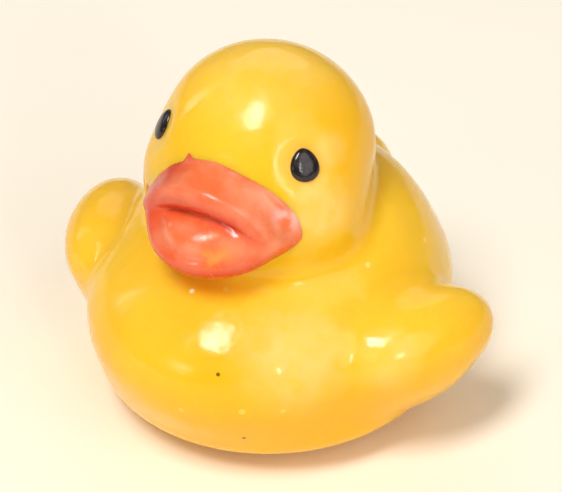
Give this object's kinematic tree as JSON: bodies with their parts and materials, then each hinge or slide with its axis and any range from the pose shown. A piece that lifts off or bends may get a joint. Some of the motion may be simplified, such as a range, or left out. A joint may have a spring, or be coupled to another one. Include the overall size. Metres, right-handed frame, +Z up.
{
  "type": "rubber duck",
  "caption": "Small moulded vinyl bath duck with spread wings, a painted coral bill and painted black eyes, standing on a flat base.",
  "frame": {"origin": "middle of the overall box, on the plane of the flat base", "axes": "+Z up; the duck looks along -Y, and +X is its left side; X = 0 is its plane of symmetry"},
  "size_m": [0.0506, 0.0444, 0.0416],
  "materials": {
    "vinyl": "soft yellow vinyl, glossy and slightly translucent",
    "bill_paint": "coral enamel paint, glossy, thin in places",
    "eye_paint": "black enamel paint, raised and glossy"
  },
  "bodies": {
    "root": {"body": "vinyl", "bill_paint": "bill_paint", "left_eye": "eye_paint", "right_eye": "eye_paint"}
  },
  "joints": []
}
